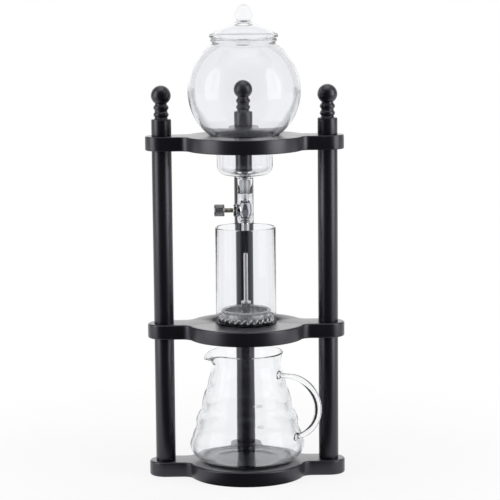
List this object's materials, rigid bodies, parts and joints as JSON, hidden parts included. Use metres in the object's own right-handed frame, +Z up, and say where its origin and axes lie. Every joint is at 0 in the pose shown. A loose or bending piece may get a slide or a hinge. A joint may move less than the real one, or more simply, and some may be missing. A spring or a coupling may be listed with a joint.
{
  "type": "cold drip coffee tower",
  "caption": "Tabletop cold drip coffee maker: black post-and-shelf stand with a lidded glass water globe and needle valve, a glass coffee cylinder with rod filter, and a glass carafe.",
  "frame": {"origin": "centre of the round of the base shelf on its underside, on the drip axis through globe, cylinder and carafe", "axes": "+Z up along the drip axis, +X to the right towards the right post, +Y to the back post; the valve knob points to -X"},
  "size_m": [0.206, 0.1625, 0.4927],
  "materials": {
    "lacquered_wood": "black satin lacquer on wood",
    "clear_glass": "clear polished borosilicate glass",
    "chrome": "polished chrome plating",
    "stainless": "bright stainless steel",
    "zinc_steel": "zinc-plated steel",
    "clear_silicone": "clear silicone rubber",
    "black_rubber": "matt black rubber"
  },
  "bodies": {
    "stand": {"base_shelf": "lacquered_wood", "middle_shelf": "lacquered_wood", "top_shelf": "lacquered_wood", "lower_post_left": "lacquered_wood", "upper_post_left": "lacquered_wood", "finial_left": "lacquered_wood", "lower_post_right": "lacquered_wood", "upper_post_right": "lacquered_wood", "finial_right": "lacquered_wood", "lower_post_back": "lacquered_wood", "upper_post_back": "lacquered_wood", "finial_back": "lacquered_wood", "base_screws": "zinc_steel", "middle_studs": "zinc_steel", "top_studs": "zinc_steel"},
    "globe": {"water_globe": "clear_glass", "valve_sleeve": "clear_silicone", "valve_body": "chrome", "gland_nut": "chrome", "spindle_seal": "black_rubber"},
    "lid": {"globe_lid": "clear_glass"},
    "needle": {"valve_needle": "stainless"},
    "knob": {"valve_spindle": "chrome", "flow_knob": "chrome"},
    "cylinder": {"coffee_cylinder": "clear_glass"},
    "filter": {"filter_cross_plate": "stainless", "filter_screen": "stainless", "filter_dish": "stainless", "filter_coil": "stainless", "filter_hub": "stainless", "filter_rod": "stainless"},
    "carafe": {"carafe_body": "clear_glass", "carafe_handle": "clear_glass"}
  },
  "joints": [
    {"name": "globe_lift", "type": "slide", "parent": "stand", "child": "globe", "axis": [0, 0, 1], "range_m": [0, 0.11]},
    {"name": "lid_lift", "type": "slide", "parent": "globe", "child": "lid", "axis": [0, 0, 1], "range_m": [0, 0.04]},
    {"name": "needle_travel", "type": "slide", "parent": "globe", "child": "needle", "axis": [-1, 0, 0], "range_m": [0, 0.00165]},
    {"name": "knob_turn", "type": "hinge", "parent": "needle", "child": "knob", "pos_m": [-0.027, 0, 0.2802], "axis": [-1, 0, 0], "range_deg": [0, 720]},
    {"name": "cylinder_lift", "type": "slide", "parent": "stand", "child": "cylinder", "axis": [0, 0, 1], "range_m": [0, 0.008]},
    {"name": "filter_lift", "type": "slide", "parent": "cylinder", "child": "filter", "axis": [0, 0, 1], "range_m": [0, 0.012]},
    {"name": "carafe_out", "type": "slide", "parent": "stand", "child": "carafe", "axis": [0, -0.9962, 0.0872], "range_m": [0, 0.15]}
  ],
  "couplings": [
    {"joint": "needle_travel", "follows": "knob_turn", "m_per_rad": 0.00012732}
  ]
}
